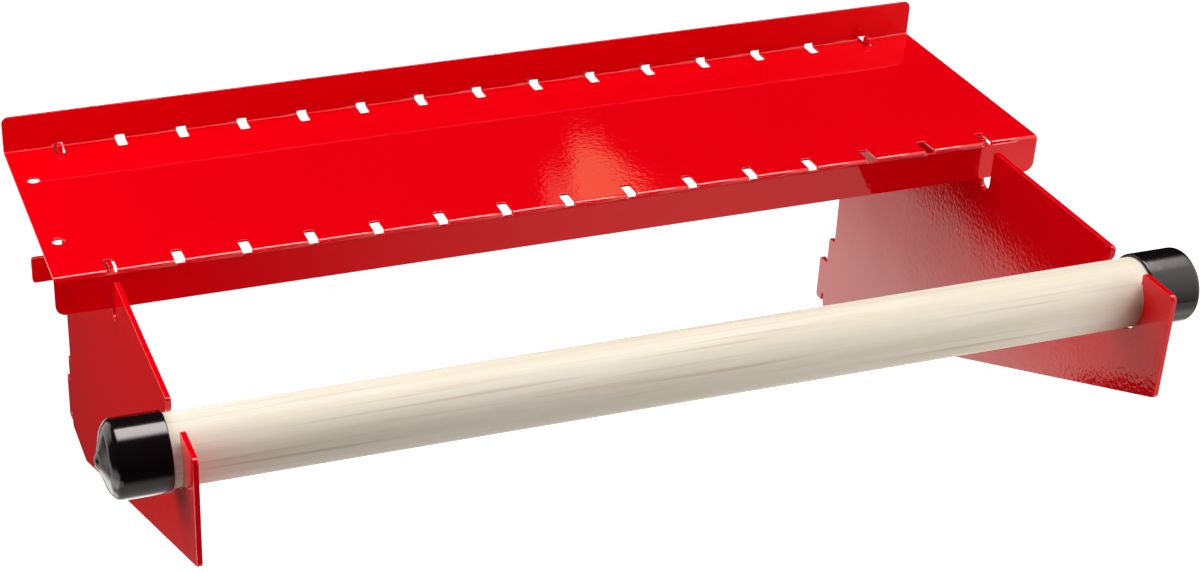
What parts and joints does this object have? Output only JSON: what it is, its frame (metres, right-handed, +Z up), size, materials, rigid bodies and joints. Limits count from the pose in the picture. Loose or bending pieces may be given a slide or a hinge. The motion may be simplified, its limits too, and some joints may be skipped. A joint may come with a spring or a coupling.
{
  "type": "wall shelf with roll dowel",
  "caption": "Folded steel tray with slotted edges on two hooked wall brackets, with a round wooden dowel in open seats in front of it that carries a roll of paper.",
  "frame": {"origin": "in the wall panel's face, midway between the brackets, level with the tray's top surface", "axes": "+X along the tray and the dowel to the right, +Y towards the wall, +Z up"},
  "size_m": [0.4116, 0.2486, 0.1523],
  "materials": {
    "shelf_steel": "gloss red powder coat",
    "bracket_steel": "gloss red powder coat",
    "dowel_wood": "bare sanded birch",
    "cap_vinyl": "gloss black dipped vinyl"
  },
  "bodies": {
    "brackets": {"left_bracket": "bracket_steel", "right_bracket": "bracket_steel"},
    "shelf": {"shelf": "shelf_steel"},
    "left_cap": {"left_end_cap": "cap_vinyl"},
    "dowel": {"dowel": "dowel_wood"},
    "right_cap": {"right_end_cap": "cap_vinyl"}
  },
  "joints": [
    {"name": "shelf_lift", "type": "slide", "parent": "brackets", "child": "shelf", "axis": [0, 0, 1], "range_m": [0, 0.03]},
    {"name": "dowel_turn", "type": "hinge", "parent": "brackets", "child": "left_cap", "pos_m": [0, -0.2135, -0.0146], "axis": [1, 0, 0], "continuous": true},
    {"name": "dowel_draw", "type": "slide", "parent": "left_cap", "child": "dowel", "axis": [1, 0, 0], "range_m": [0, 0.385]},
    {"name": "right_cap_pull", "type": "slide", "parent": "dowel", "child": "right_cap", "axis": [1, 0, 0], "range_m": [0, 0.03]}
  ]
}
